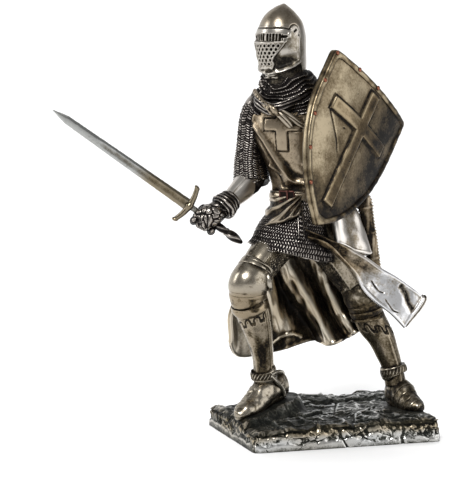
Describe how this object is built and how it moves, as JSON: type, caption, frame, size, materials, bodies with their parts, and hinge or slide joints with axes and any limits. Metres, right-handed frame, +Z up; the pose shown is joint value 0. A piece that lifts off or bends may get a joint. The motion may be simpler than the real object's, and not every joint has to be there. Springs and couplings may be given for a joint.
{
  "type": "medieval knight statue",
  "caption": "Armoured knight stepping forward on a rocky plinth, sword drawn and a heater shield with a raised cross on the left arm.",
  "frame": {"origin": "centre of the plinth's flat underside, at the middle of its 104 x 82.4 mm rectangle", "axes": "+Z up, X along the plinth's long side with +X on the shield's side, -Y the plinth's front"},
  "size_m": [0.1921, 0.0824, 0.2287],
  "materials": {
    "stone_silver": "silver paint over dark grey-green stone, rubbed bright on the broken edges",
    "antique_silver": "polished silver with black antiquing in the recesses",
    "antique_bronze_silver": "polished olive-bronze silver with dark antiquing and small red-brown rivets",
    "worn_steel": "mid-grey worn steel"
  },
  "bodies": {
    "root": {"base": "stone_silver", "knight": "antique_silver", "shield": "antique_bronze_silver", "sword": "worn_steel"}
  },
  "joints": []
}
